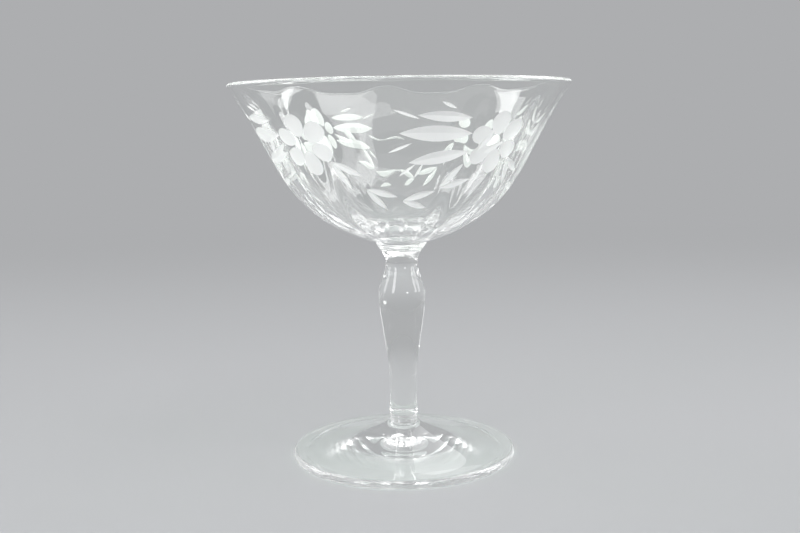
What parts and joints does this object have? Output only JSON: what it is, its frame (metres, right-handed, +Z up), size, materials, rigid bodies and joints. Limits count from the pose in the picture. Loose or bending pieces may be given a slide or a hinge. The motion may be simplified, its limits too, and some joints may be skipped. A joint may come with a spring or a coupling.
{
  "type": "champagne coupe",
  "caption": "Stemmed champagne coupe in clear glass: a wide flared bowl, a baluster stem and a low domed foot, joined end to end.",
  "frame": {"origin": "centre of the circle that the foot rests on, on the table", "axes": "+Z up along the glass's own axis, from the foot to the lip; the part is round, so X and Y are free"},
  "size_m": [0.1024, 0.1024, 0.115],
  "materials": {
    "clear_glass": "fire-polished clear glass, with grey-cut flowers and leaves around the bowl"
  },
  "bodies": {
    "root": {"bowl": "clear_glass", "stem": "clear_glass", "foot": "clear_glass"}
  },
  "joints": []
}
